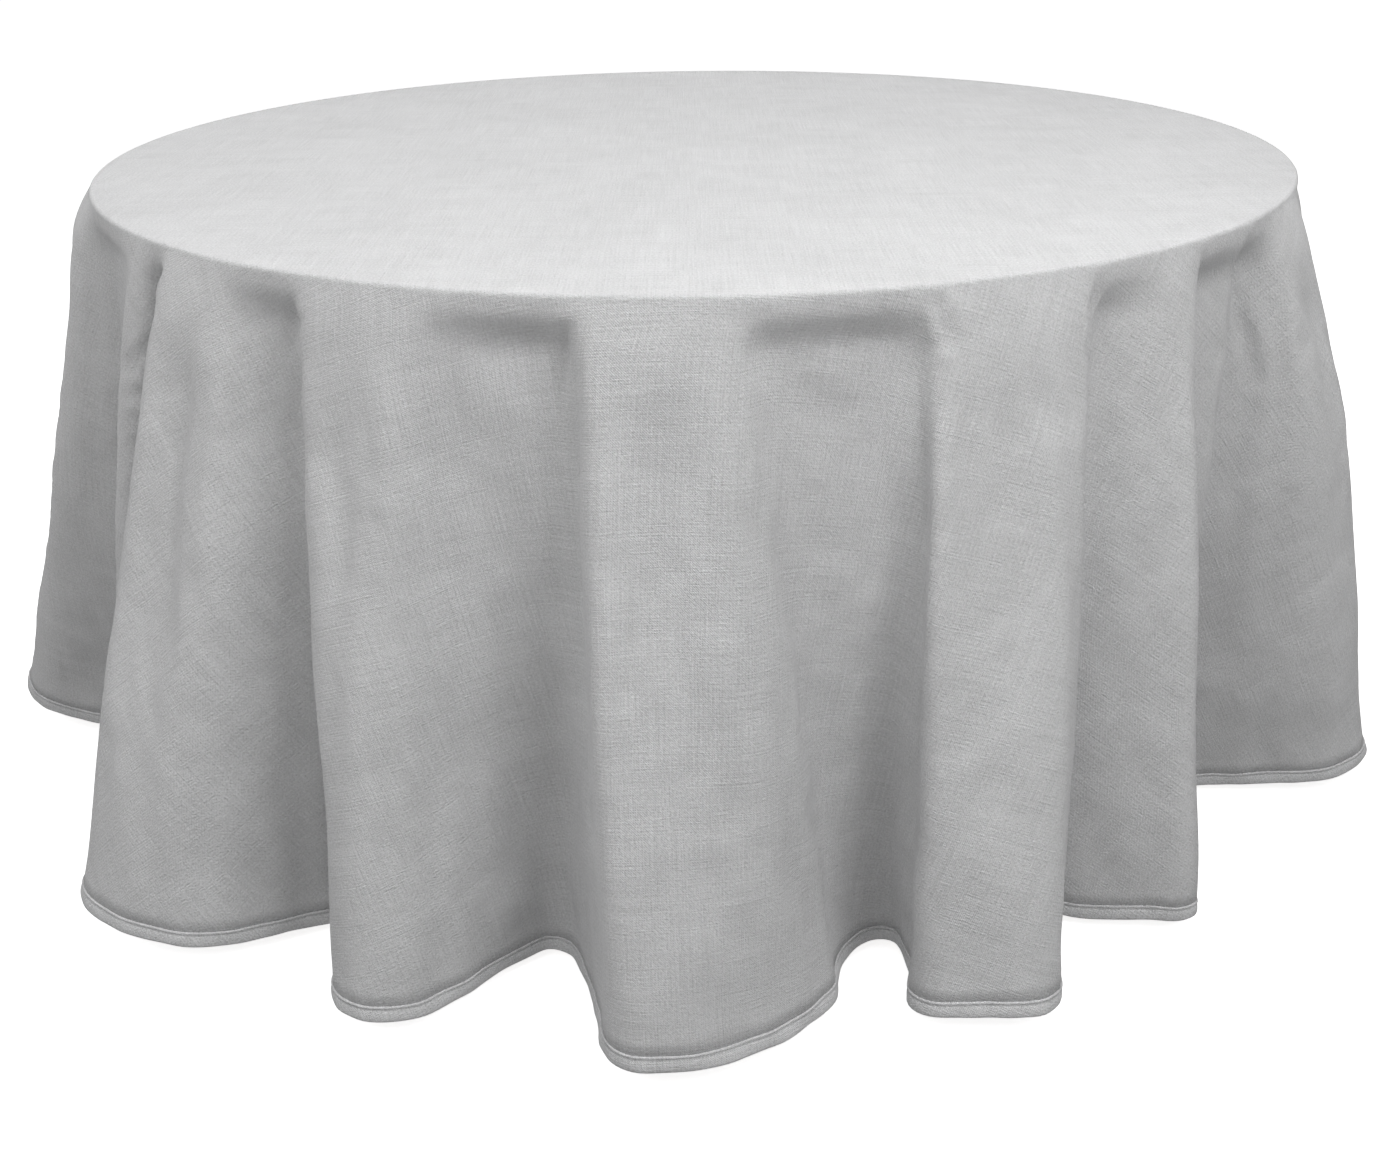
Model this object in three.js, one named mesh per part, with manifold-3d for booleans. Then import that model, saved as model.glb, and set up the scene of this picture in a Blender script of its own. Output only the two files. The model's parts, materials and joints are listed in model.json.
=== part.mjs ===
// A round tablecloth hanging to the floor over a round folding banquet table.
// Millimetres, +Z up. The origin is on the floor under the middle of the table, and -Y is the front.

import * as THREE from 'three';
import { mergeVertices } from 'three/addons/utils/BufferGeometryUtils.js';
import Module from 'manifold-3d';

const wasm = await Module();
wasm.setup();

// ---------------------------------------------------------------- driving dimensions

// Table
const TABLE_HEIGHT = 760;
const TABLE_RADIUS = 760;
const BOARD_THICKNESS = 18;
const BAND_WIDTH = 6;
const BAND_ROUNDING = 3;
const RUNNER_LENGTH = 1040;
const RUNNER_WIDTH = 60;
const RUNNER_THICKNESS = 20;
const RUNNER_Y = 300;
const CENTRE_BOARD_LENGTH = 310;
const CENTRE_BOARD_WIDTH = 110;

// Folding leg frames
const HINGE_X = 430;
const LEG_Y = 350;
const TUBE_RADIUS = 12.5;
const TUBE_WALL = 1.2;
const BAR_OVERHANG = 18;
const STRETCHER_RADIUS = 9;
const STRETCHER_DROP = 260;
const BLOCK_LENGTH = 90;
const BLOCK_HEIGHT = 32;
const FOOT_RADIUS = 15;
const FOOT_HEIGHT = 32;
const FOOT_FLOOR = 4;

// Hinge clamps and screws
const CLAMP_WIDTH = 32;
const CLAMP_HALF_LENGTH = 38;
const PLATE_THICKNESS = 2.5;
const SCREW_SHANK_RADIUS = 2;
const SCREW_HEAD_RADIUS = 4.5;
const SCREW_HEAD_HEIGHT = 2.4;
const SCREW_LENGTH = 14;

// Folding braces
const BRACE_REACH = 320;
const LINK_THICKNESS = 4;
const LINK_RADIUS = 9;
const LINK_EYE_WALL = 4;
const PIN_RADIUS = 4;
const PIN_HEAD_RADIUS = 6.5;
const PIN_HEAD_HEIGHT = 2;
const BRACKET_LENGTH = 50;
const BRACKET_FLANGE = 34;
const COLLAR_WIDTH = 4;

// Cloth
const CLOTH_RADIUS = 1510;
const CLOTH_THICKNESS = 2;
const CLOTH_BEND = 5;
const HEM_HEIGHT = 15;
const HEM_THICKNESS = 3.6;

// Clearances
const MATE_GAP = 0.3;
const RUNNING_GAP = 0.5;
const BAR_TOP_GAP = 1.5;
const EDGE_GAP = 1.2;

// Facets round a full turn
const TABLE_FACETS = 72;
const TUBE_FACETS = 16;
const SMALL_FACETS = 12;
const PLATE_ARC_STEPS = 6;
const CLOTH_FACETS = 150;
const SKIRT_STEPS = 6;
const BEND_STEPS = 2;
const MITRE_LIMIT = 3;

// Folds of the skirt, round the table from the front (0 degrees, -Y) towards +X (90 degrees).
// Each fold has the angle of the valley before it, then the angle and radius of its two hem corners.
const VALLEY_RADIUS = TABLE_RADIUS + 8;
const FOLDS = [
  { valley: -98, left: [-91, 935], right: [-81, 962] },
  { valley: -70, left: [-66, 840], right: [-60, 830] },
  { valley: -56, left: [-48, 962], right: [-37, 915] },
  { valley: -31, left: [-26, 915], right: [-19.5, 915] },
  { valley: -12, left: [-5.5, 946], right: [6, 892] },
  { valley: 12.5, left: [15, 892], right: [23.5, 932] },
  { valley: 30, left: [34, 835], right: [39, 890] },
  { valley: 52, left: [62.5, 915], right: [70, 945] },
  { valley: 78, left: [86, 940], right: [97, 950] },
  { valley: 104, left: [112, 925], right: [121, 910] },
  { valley: 129, left: [138, 930], right: [148, 940] },
  { valley: 156, left: [165, 940], right: [174, 935] },
  { valley: 183, left: [190, 935], right: [199, 920] },
  { valley: 207, left: [216, 910], right: [226, 930] },
  { valley: 234, left: [243, 940], right: [252, 935] },
];

// ---------------------------------------------------------------- levels and places worked out

const boardBottom = TABLE_HEIGHT - BOARD_THICKNESS;
const runnerTop = boardBottom - MATE_GAP;
const runnerBottom = runnerTop - RUNNER_THICKNESS;
const blockTop = runnerBottom - MATE_GAP;
const blockBottom = blockTop - BLOCK_HEIGHT;
const screwHoleRadius = SCREW_SHANK_RADIUS + MATE_GAP;
const clampScrewX = (CLAMP_HALF_LENGTH + TUBE_RADIUS + PLATE_THICKNESS) / 2;
const barHalfLength = LEG_Y + BAR_OVERHANG;

// The brace is straight when the leg stands, and lies flat along the board when the leg is folded.
const braceSpan = Math.hypot(BRACE_REACH, STRETCHER_DROP);
const braceAngle = Math.atan2(STRETCHER_DROP, BRACE_REACH);
const upperLinkLength = (braceSpan - (BRACE_REACH - STRETCHER_DROP)) / 2;
const lowerLinkLength = braceSpan - upperLinkLength;
const upperLinkY = MATE_GAP;
const lowerLinkY = -MATE_GAP - LINK_THICKNESS;
const bracketEarY = upperLinkY + LINK_THICKNESS + RUNNING_GAP;

const frames = [
  { side: 'left', inward: 1, seat: runnerBottom },
  { side: 'right', inward: -1, seat: blockBottom },
];
const ends = [
  { end: 'front', y: -1 },
  { end: 'back', y: 1 },
];

// ---------------------------------------------------------------- finishes

const finish = (colour, roughness, metalness) =>
  new THREE.MeshStandardMaterial({ color: colour, roughness, metalness });
const finishes = {
  cloth: finish(0xc9c9cb, 0.95, 0),
  plywood: finish(0xc9a36d, 0.6, 0),
  band: finish(0x3a2d22, 0.5, 0),
  paintedSteel: finish(0x5c5f63, 0.5, 0.3),
  zinc: finish(0xb9bcc0, 0.35, 0.9),
  rubber: finish(0x1c1c1c, 0.85, 0),
};

const model = new THREE.Group();

function addPiece(name, geometry, material, group = model) {
  const mesh = new THREE.Mesh(geometry, material);
  mesh.name = name;
  group.add(mesh);
  return mesh;
}

// ---------------------------------------------------------------- solids: joins, cuts and basic shapes

function toSolid(geometry) {
  const bare = geometry.clone();
  bare.deleteAttribute('normal');
  bare.deleteAttribute('uv');
  const merged = mergeVertices(bare, 1e-3);
  const vertProperties = new Float32Array(merged.attributes.position.array);
  const triVerts = new Uint32Array(merged.index.array);
  return new wasm.Manifold(new wasm.Mesh({ numProp: 3, vertProperties, triVerts }));
}

function toGeometry(solid) {
  const { vertProperties, triVerts } = solid.getMesh();
  const geometry = new THREE.BufferGeometry();
  geometry.setAttribute('position', new THREE.BufferAttribute(vertProperties, 3));
  geometry.setIndex(new THREE.BufferAttribute(triVerts, 1));
  return geometry;
}

function cut(geometry, cutters) {
  const solid = cutters.reduce((left, cutter) => left.subtract(toSolid(cutter)), toSolid(geometry));
  return toGeometry(solid);
}

function join(first, second) {
  return toGeometry(toSolid(first).add(toSolid(second)));
}

// A solid of revolution about Z from [radius, height] points.
function turned(profile, facets) {
  const points = profile.map(([radius, height]) => new THREE.Vector2(radius, height));
  return new THREE.LatheGeometry(points, facets).rotateX(Math.PI / 2);
}

// An open tube along Z that starts at height 0.
function tube(radius, wall, length) {
  const inside = radius - wall;
  return turned([[inside, 0], [radius, 0], [radius, length], [inside, length], [inside, 0]], TUBE_FACETS);
}

// A solid cylinder along Z whose middle is at the origin.
function rod(radius, length, facets) {
  return new THREE.CylinderGeometry(radius, radius, length, facets).rotateX(Math.PI / 2);
}

function block(length, width, height) {
  return new THREE.BoxGeometry(length, width, height);
}

// An outline in X and Z, made into a plate whose thickness runs from y = 0 towards +Y.
function plate(shape, thickness) {
  const options = { depth: thickness, bevelEnabled: false, curveSegments: PLATE_ARC_STEPS };
  return new THREE.ExtrudeGeometry(shape, options).rotateX(Math.PI / 2).translate(0, thickness, 0);
}

// ---------------------------------------------------------------- table board, band, runners

function addBoard() {
  const radius = TABLE_RADIUS - BAND_WIDTH - MATE_GAP;
  const board = rod(radius, BOARD_THICKNESS, TABLE_FACETS);
  addPiece('table_board', board, finishes.plywood).position.z = boardBottom + BOARD_THICKNESS / 2;
}

function addEdgeBand() {
  const inside = TABLE_RADIUS - BAND_WIDTH;
  const shoulder = TABLE_RADIUS - BAND_ROUNDING;
  const profile = [
    [inside, 0],
    [shoulder, 0],
    [TABLE_RADIUS, BAND_ROUNDING],
    [TABLE_RADIUS, BOARD_THICKNESS - BAND_ROUNDING],
    [shoulder, BOARD_THICKNESS],
    [inside, BOARD_THICKNESS],
    [inside, 0],
  ];
  // CylinderGeometry and LatheGeometry both put a corner on the same ray, so the two rings stay parallel.
  addPiece('edge_band', turned(profile, TABLE_FACETS), finishes.band).position.z = boardBottom;
}

// A blind screw hole that opens downwards at x, y and height z.
function screwHole(x, y, z) {
  const depth = SCREW_LENGTH + MATE_GAP;
  return rod(screwHoleRadius, 2 * depth, SMALL_FACETS).translate(x, y, z);
}

function clampScrewPlaces(frame, y) {
  const x = -frame.inward * HINGE_X;
  return [-clampScrewX, clampScrewX].map((offset) => [x + offset, y]);
}

function addRunner({ end, y }) {
  const middle = y * RUNNER_Y;
  const leftFrame = frames[0];
  const holes = clampScrewPlaces(leftFrame, middle).map(([x, holeY]) => screwHole(x, holeY, runnerBottom));
  const height = runnerTop - RUNNER_THICKNESS / 2;
  const runner = block(RUNNER_LENGTH, RUNNER_WIDTH, RUNNER_THICKNESS).translate(0, middle, height);
  addPiece(`runner_${end}`, cut(runner, holes), finishes.plywood);
}

function addHingeBlock({ end, y }) {
  const rightFrame = frames[1];
  const middle = y * RUNNER_Y;
  const holes = clampScrewPlaces(rightFrame, middle).map(([x, holeY]) => screwHole(x, holeY, blockBottom));
  const height = blockTop - BLOCK_HEIGHT / 2;
  const packing = block(BLOCK_LENGTH, RUNNER_WIDTH, BLOCK_HEIGHT).translate(HINGE_X, middle, height);
  addPiece(`hinge_block_${end}`, cut(packing, holes), finishes.plywood);
}

// ---------------------------------------------------------------- brace brackets and the board they hang from

function bracketX(frame) {
  return frame.inward * (BRACE_REACH - HINGE_X);
}

function bracketScrewPlaces(frame) {
  const offset = BRACKET_LENGTH / 2 - SCREW_HEAD_RADIUS - PLATE_THICKNESS;
  const y = bracketEarY + PLATE_THICKNESS + BRACKET_FLANGE / 2;
  return [-offset, offset].map((along) => [bracketX(frame) + along, y]);
}

function addCentreBoard() {
  const holes = frames.flatMap(bracketScrewPlaces).map(([x, y]) => screwHole(x, y, runnerBottom));
  const height = runnerTop - RUNNER_THICKNESS / 2;
  const board = block(CENTRE_BOARD_LENGTH, CENTRE_BOARD_WIDTH, RUNNER_THICKNESS).translate(0, 0, height);
  addPiece('centre_board', cut(board, holes), finishes.plywood);
}

// An angle: the flange lies against the centre board, and the ear hangs down to the pivot pin.
function addBracket(frame) {
  const flangeTop = runnerBottom - MATE_GAP;
  const drop = flangeTop - axisHeight(frame);
  const ear = new THREE.Shape();
  ear.moveTo(-BRACKET_LENGTH / 2, drop);
  ear.lineTo(-LINK_RADIUS, 0);
  ear.absarc(0, 0, LINK_RADIUS, Math.PI, 2 * Math.PI, false);
  ear.lineTo(BRACKET_LENGTH / 2, drop);
  const pinHole = new THREE.Path();
  pinHole.absarc(0, 0, PIN_RADIUS + MATE_GAP, 0, 2 * Math.PI, false);
  ear.holes.push(pinHole);
  const earPlate = plate(ear, PLATE_THICKNESS);
  const flange = block(BRACKET_LENGTH, PLATE_THICKNESS + BRACKET_FLANGE, PLATE_THICKNESS);
  flange.translate(0, (PLATE_THICKNESS + BRACKET_FLANGE) / 2, drop - PLATE_THICKNESS / 2);
  const place = [bracketX(frame), bracketEarY, axisHeight(frame)];
  const holes = bracketScrewPlaces(frame).map(([x, y]) => screwHole(x, y, flangeTop));
  const bracket = join(earPlate, flange).translate(...place);
  addPiece(`brace_bracket_${frame.side}`, cut(bracket, holes), finishes.zinc);
  bracketScrewPlaces(frame).forEach(([x, y], index) => {
    addScrew(`bracket_screw_${frame.side}_${index + 1}`, x, y, flangeTop - PLATE_THICKNESS);
  });
}

// ---------------------------------------------------------------- screws and hinge clamps

// The underside of the head rests against the plate face at height z, and the shank points up.
function addScrew(name, x, y, z) {
  const profile = [
    [0, -SCREW_HEAD_HEIGHT],
    [SCREW_HEAD_RADIUS * 0.6, -SCREW_HEAD_HEIGHT],
    [SCREW_HEAD_RADIUS, -SCREW_HEAD_HEIGHT / 3],
    [SCREW_HEAD_RADIUS, 0],
    [SCREW_SHANK_RADIUS, 0],
    [SCREW_SHANK_RADIUS, SCREW_LENGTH - SCREW_SHANK_RADIUS],
    [0, SCREW_LENGTH],
  ];
  addPiece(name, turned(profile, SMALL_FACETS), finishes.zinc).position.set(x, y, z - MATE_GAP);
}

function axisHeight(frame) {
  return frame.seat - BAR_TOP_GAP - TUBE_RADIUS;
}

// A strap round the hinge bar with a flange on each side, drawn about the bar's axis.
function addClamp(frame, { end, y }) {
  const top = BAR_TOP_GAP + TUBE_RADIUS - MATE_GAP;
  const under = top - PLATE_THICKNESS;
  const inner = TUBE_RADIUS + RUNNING_GAP;
  const outer = inner + PLATE_THICKNESS;
  const strap = new THREE.Shape();
  strap.moveTo(CLAMP_HALF_LENGTH, top);
  strap.lineTo(CLAMP_HALF_LENGTH, under);
  strap.lineTo(outer, under);
  strap.absarc(0, 0, outer, 0, Math.PI, true);
  strap.lineTo(-outer, under);
  strap.lineTo(-CLAMP_HALF_LENGTH, under);
  strap.lineTo(-CLAMP_HALF_LENGTH, top);
  strap.lineTo(-inner, top);
  strap.absarc(0, 0, inner, Math.PI, 2 * Math.PI, false);
  strap.lineTo(inner, top);
  const middle = y * RUNNER_Y;
  const x = -frame.inward * HINGE_X;
  const clamp = plate(strap, CLAMP_WIDTH).translate(x, middle - CLAMP_WIDTH / 2, axisHeight(frame));
  const places = clampScrewPlaces(frame, middle);
  const holes = places.map(([holeX, holeY]) => screwHole(holeX, holeY, frame.seat));
  addPiece(`hinge_clamp_${frame.side}_${end}`, cut(clamp, holes), finishes.zinc);
  places.forEach(([screwX, screwY], index) => {
    const flangeUnder = frame.seat - MATE_GAP - PLATE_THICKNESS;
    addScrew(`clamp_screw_${frame.side}_${end}_${index + 1}`, screwX, screwY, flangeUnder);
  });
}

// ---------------------------------------------------------------- leg frames, drawn about the hinge axis

function addLegFrame(frame) {
  const group = new THREE.Group();
  group.position.set(-frame.inward * HINGE_X, 0, axisHeight(frame));
  model.add(group);
  const steel = finishes.paintedSteel;

  const barLength = 2 * barHalfLength;
  const bar = tube(TUBE_RADIUS, TUBE_WALL, barLength).rotateX(Math.PI / 2).translate(0, barHalfLength, 0);
  addPiece(`hinge_bar_${frame.side}`, bar, steel, group);

  const legLength = axisHeight(frame) - FOOT_FLOOR - MATE_GAP;
  const barCutter = rod(TUBE_RADIUS + MATE_GAP, barLength, TUBE_FACETS).rotateX(Math.PI / 2);
  for (const { end, y } of ends) {
    const leg = tube(TUBE_RADIUS, TUBE_WALL, legLength).translate(0, y * LEG_Y, -legLength);
    addPiece(`leg_${frame.side}_${end}`, cut(leg, [barCutter]), steel, group);
    addFootCap(`foot_cap_${frame.side}_${end}`, y * LEG_Y, -axisHeight(frame), group);
  }

  const stretcher = tube(STRETCHER_RADIUS, TUBE_WALL, 2 * LEG_Y).rotateX(Math.PI / 2);
  stretcher.translate(0, LEG_Y, -STRETCHER_DROP);
  const legCutters = ends.map(({ y }) => {
    return rod(TUBE_RADIUS + MATE_GAP, 2 * legLength, TUBE_FACETS).translate(0, y * LEG_Y, 0);
  });
  addPiece(`stretcher_${frame.side}`, cut(stretcher, legCutters), steel, group);

  addCollar(`brace_collar_${frame.side}_front`, lowerLinkY - MATE_GAP - COLLAR_WIDTH, group);
  addCollar(`brace_collar_${frame.side}_back`, lowerLinkY + LINK_THICKNESS + MATE_GAP, group);
}

function addFootCap(name, y, floor, group) {
  const inside = TUBE_RADIUS + MATE_GAP;
  const profile = [
    [0, 0],
    [FOOT_RADIUS - 1, 0],
    [FOOT_RADIUS, 1],
    [FOOT_RADIUS, FOOT_HEIGHT],
    [inside, FOOT_HEIGHT],
    [inside, FOOT_FLOOR],
    [0, FOOT_FLOOR],
  ];
  addPiece(name, turned(profile, TUBE_FACETS), finishes.rubber, group).position.set(0, y, floor);
}

// A collar on the stretcher that starts at y and keeps the lower link's eye in its place.
function addCollar(name, y, group) {
  const inside = STRETCHER_RADIUS + MATE_GAP;
  const outside = inside + LINK_EYE_WALL;
  const profile = [[inside, 0], [outside, 0], [outside, COLLAR_WIDTH], [inside, COLLAR_WIDTH], [inside, 0]];
  const collar = turned(profile, TUBE_FACETS).rotateX(-Math.PI / 2).translate(0, y, -STRETCHER_DROP);
  addPiece(name, collar, finishes.zinc, group);
}

// ---------------------------------------------------------------- brace links

// A flat link from an eye at the origin to a boss at x = length.
function link(length, eyeRadius, eyeHole, bossHole) {
  const tangent = Math.acos((eyeRadius - LINK_RADIUS) / length);
  const outline = new THREE.Shape();
  outline.absarc(0, 0, eyeRadius, tangent, 2 * Math.PI - tangent, false);
  outline.absarc(length, 0, LINK_RADIUS, -tangent, tangent, false);
  for (const [x, radius] of [[0, eyeHole], [length, bossHole]]) {
    const hole = new THREE.Path();
    hole.absarc(x, 0, radius, 0, 2 * Math.PI, false);
    outline.holes.push(hole);
  }
  return plate(outline, LINK_THICKNESS);
}

// A headed pin along Y: the head is on the far side of the plate that ends at y = reach.
function headedPin(reach) {
  const profile = [
    [0, 0],
    [PIN_RADIUS, 0],
    [PIN_RADIUS, reach],
    [PIN_HEAD_RADIUS, reach],
    [PIN_HEAD_RADIUS, reach + PIN_HEAD_HEIGHT],
    [0, reach + PIN_HEAD_HEIGHT],
  ];
  return turned(profile, SMALL_FACETS).rotateX(-Math.PI / 2);
}

function addBrace(frame) {
  const steel = finishes.zinc;
  const pinHole = PIN_RADIUS + RUNNING_GAP;
  const rivetHole = PIN_RADIUS + MATE_GAP;

  // The upper link hangs from the bracket pin and points outwards and down to the knee.
  const upper = new THREE.Group();
  upper.position.set(bracketX(frame), upperLinkY, axisHeight(frame));
  upper.rotation.y = frame.inward > 0 ? Math.PI - braceAngle : braceAngle;
  model.add(upper);
  addPiece(`brace_upper_${frame.side}`, link(upperLinkLength, LINK_RADIUS, pinHole, rivetHole), steel, upper);
  const rivet = addPiece(`knee_rivet_${frame.side}`, headedPin(LINK_THICKNESS + MATE_GAP), steel, upper);
  rivet.position.x = upperLinkLength;
  const pin = headedPin(bracketEarY + PLATE_THICKNESS + MATE_GAP - upperLinkY);
  pin.translate(bracketX(frame), upperLinkY, axisHeight(frame));
  addPiece(`brace_pin_${frame.side}`, pin, steel);

  // The lower link turns on the stretcher and points inwards and up to the knee.
  const lower = new THREE.Group();
  lower.position.set(-frame.inward * HINGE_X, lowerLinkY, axisHeight(frame) - STRETCHER_DROP);
  lower.rotation.y = frame.inward > 0 ? -braceAngle : Math.PI + braceAngle;
  model.add(lower);
  const eyeHole = STRETCHER_RADIUS + RUNNING_GAP;
  const lowerLink = link(lowerLinkLength, eyeHole + LINK_EYE_WALL, eyeHole, rivetHole);
  addPiece(`brace_lower_${frame.side}`, lowerLink, steel, lower);
}

// ---------------------------------------------------------------- cloth and hem

const clothTop = TABLE_HEIGHT + MATE_GAP + CLOTH_THICKNESS;
const clothEdge = TABLE_RADIUS + EDGE_GAP + CLOTH_THICKNESS;
const skirtStart = clothTop - CLOTH_BEND;
const skirtLength = CLOTH_RADIUS - (clothEdge - CLOTH_BEND) - CLOTH_BEND * Math.PI / 2;

// A point of the plan, from an angle in degrees from the front and a radius.
function planPoint(angle, radius) {
  const turn = THREE.MathUtils.degToRad(angle);
  return new THREE.Vector3(radius * Math.sin(turn), -radius * Math.cos(turn), 0);
}

// The hem seen from above: one smooth closed curve through the folds' valleys and corners.
function hemPlan() {
  const points = FOLDS.flatMap(({ valley, left, right }) => {
    return [planPoint(valley, VALLEY_RADIUS), planPoint(...left), planPoint(...right)];
  });
  const curve = new THREE.CatmullRomCurve3(points, true, 'centripetal');
  curve.arcLengthDivisions = 3000;
  return curve.getSpacedPoints(CLOTH_FACETS).slice(0, CLOTH_FACETS);
}

// The outer face of the skirt at the share h of its length, 0 at the table's edge and 1 at the hem.
// Every thread runs straight from the edge to the hem, and all are equally long.
function skirtRing(hem, h) {
  const start = FOLDS[0].valley;
  return hem.map((foot, index) => {
    const edge = planPoint(start + index * 360 / CLOTH_FACETS, clothEdge);
    const lean = foot.distanceTo(edge);
    const fall = Math.sqrt(skirtLength ** 2 - lean ** 2);
    const point = edge.clone().lerp(foot, h);
    point.z = skirtStart - h * fall;
    return point;
  });
}

// The two facets between one ring and the next at a place round them, as corner points.
function ringFacets(ring, lower, index) {
  const next = (index + 1) % CLOTH_FACETS;
  return [[ring[index], lower[index], ring[next]], [ring[next], lower[index], lower[next]]];
}

// The shortest sideways move that shifts every facet round a point by distance along its normal.
// Where sharp corners leave no such move within the mitre limit, the nearest to one is taken.
function sidewaysMove(normals, distance) {
  const moves = normals.flatMap((one) => {
    const straight = one.clone().multiplyScalar(distance / one.lengthSq());
    const mitred = normals.filter((other) => Math.abs(one.cross(other)) > 0.05).map((other) => {
      const scale = distance / one.cross(other);
      return new THREE.Vector2((other.y - one.y) * scale, (one.x - other.x) * scale);
    });
    return [straight, ...mitred];
  });
  const limit = MITRE_LIMIT * Math.abs(distance);
  const shortfall = (move) => {
    const shifts = normals.map((normal) => normal.dot(move) / distance);
    return Math.max(0, 0.999 - Math.min(...shifts));
  };
  const usable = moves.filter((move) => move.length() <= limit);
  usable.sort((one, other) => shortfall(one) - shortfall(other) || one.length() - other.length());
  return usable[0];
}

// Rings moved sideways so that the surface through them shifts by distance, outwards when positive.
function offsetRings(rings, distance) {
  const normals = rings.map((ring) => ring.map(() => []));
  const corner = new THREE.Triangle();
  for (let step = 0; step + 1 < rings.length; step += 1) {
    for (let index = 0; index < CLOTH_FACETS; index += 1) {
      const next = (index + 1) % CLOTH_FACETS;
      const [first, second] = ringFacets(rings[step], rings[step + 1], index).map((points) => {
        const normal = corner.set(...points).getNormal(new THREE.Vector3());
        return new THREE.Vector2(normal.x, normal.y);
      });
      normals[step][index].push(first);
      normals[step][next].push(first, second);
      normals[step + 1][index].push(first, second);
      normals[step + 1][next].push(second);
    }
  }
  return rings.map((ring, step) => ring.map((point, index) => {
    const move = sidewaysMove(normals[step][index], distance);
    return new THREE.Vector3(point.x + move.x, point.y + move.y, point.z);
  }));
}

// A round ring at one height, with its points at the skirt's threads.
function roundRing(radius, height) {
  const start = FOLDS[0].valley;
  return Array.from({ length: CLOTH_FACETS }, (_, index) => {
    return planPoint(start + index * 360 / CLOTH_FACETS, radius).setZ(height);
  });
}

// A closed shell between an outer and an inner set of rings that hang down, cut the same way.
// Its upper end is closed over the two middles when they're given, and else between the first rings.
function shellSurface(outer, inner, middles = []) {
  const points = [...outer.flat(), ...inner.flat(), ...middles];
  const under = outer.length * CLOTH_FACETS;
  const end = under - CLOTH_FACETS;
  const faces = [];
  for (let index = 0; index < CLOTH_FACETS; index += 1) {
    const next = (index + 1) % CLOTH_FACETS;
    for (let ring = 0; ring < end; ring += CLOTH_FACETS) {
      const [a, b, c, d] = [index, index + CLOTH_FACETS, next, next + CLOTH_FACETS].map((k) => k + ring);
      faces.push(a, b, c, c, b, d);
      faces.push(under + c, under + b, under + a, under + d, under + b, under + c);
    }
    const [a, b, c, d] = [end + index, under + end + index, end + next, under + end + next];
    faces.push(a, b, c, c, b, d);
    if (middles.length) {
      faces.push(2 * under, index, next);
      faces.push(2 * under + 1, under + next, under + index);
    } else {
      faces.push(index, next, under + index, next, under + next, under + index);
    }
  }
  return new THREE.BufferGeometry().setFromPoints(points).setIndex(faces);
}

// The bend over the table's edge, from the flat top to the skirt, on the outer face or inside it.
function bendRings(inset) {
  return Array.from({ length: BEND_STEPS }, (_, step) => {
    const turn = step / BEND_STEPS * Math.PI / 2;
    const radius = clothEdge - CLOTH_BEND + (CLOTH_BEND - inset) * Math.sin(turn);
    const height = clothTop - CLOTH_BEND + (CLOTH_BEND - inset) * Math.cos(turn);
    return roundRing(radius, height);
  });
}

function addCloth() {
  const hem = hemPlan();
  const clothEnd = 1 - (HEM_HEIGHT + MATE_GAP) / skirtLength;
  const skirt = Array.from({ length: SKIRT_STEPS + 1 }, (_, step) => {
    return skirtRing(hem, clothEnd * step / SKIRT_STEPS);
  });
  const outer = [...bendRings(0), ...skirt];
  const inner = [...bendRings(CLOTH_THICKNESS), ...offsetRings(skirt, -CLOTH_THICKNESS)];
  const topMiddle = new THREE.Vector3(0, 0, clothTop);
  const underMiddle = new THREE.Vector3(0, 0, clothTop - CLOTH_THICKNESS);
  addPiece('tablecloth', shellSurface(outer, inner, [topMiddle, underMiddle]), finishes.cloth);
}

function addHem() {
  const hem = hemPlan();
  const strip = [skirtRing(hem, 1 - HEM_HEIGHT / skirtLength), skirtRing(hem, 1)];
  const proud = (HEM_THICKNESS - CLOTH_THICKNESS) / 2;
  const outer = offsetRings(strip, proud);
  const inner = offsetRings(strip, proud - HEM_THICKNESS);
  addPiece('hem', shellSurface(outer, inner), finishes.cloth);
}

// ---------------------------------------------------------------- the whole object

addBoard();
addEdgeBand();
addCentreBoard();
for (const end of ends) {
  addRunner(end);
  addHingeBlock(end);
}
for (const frame of frames) {
  addBracket(frame);
  for (const end of ends) {
    addClamp(frame, end);
  }
  addLegFrame(frame);
  addBrace(frame);
}
addCloth();
addHem();

export default model;
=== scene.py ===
import json
import math

import bpy
import numpy as np
from mathutils import Matrix, Vector


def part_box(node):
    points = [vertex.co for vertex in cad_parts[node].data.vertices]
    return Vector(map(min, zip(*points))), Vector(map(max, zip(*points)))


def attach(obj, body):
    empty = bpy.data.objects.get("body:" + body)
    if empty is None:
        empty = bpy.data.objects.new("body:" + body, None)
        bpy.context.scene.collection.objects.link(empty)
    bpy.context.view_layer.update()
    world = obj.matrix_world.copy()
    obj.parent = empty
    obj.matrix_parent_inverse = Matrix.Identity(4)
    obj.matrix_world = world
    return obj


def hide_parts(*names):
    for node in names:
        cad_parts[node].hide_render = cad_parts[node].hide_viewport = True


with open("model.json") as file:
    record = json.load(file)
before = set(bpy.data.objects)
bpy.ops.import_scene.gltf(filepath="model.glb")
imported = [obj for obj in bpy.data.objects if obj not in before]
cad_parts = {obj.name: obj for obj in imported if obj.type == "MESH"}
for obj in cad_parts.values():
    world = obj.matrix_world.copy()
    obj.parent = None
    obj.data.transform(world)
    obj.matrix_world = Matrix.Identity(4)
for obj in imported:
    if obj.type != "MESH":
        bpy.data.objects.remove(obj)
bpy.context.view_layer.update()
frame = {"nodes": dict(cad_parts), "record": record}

RNG = np.random.default_rng(7)

# ---------------------------------------------------------------- sizes, in metres

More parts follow.
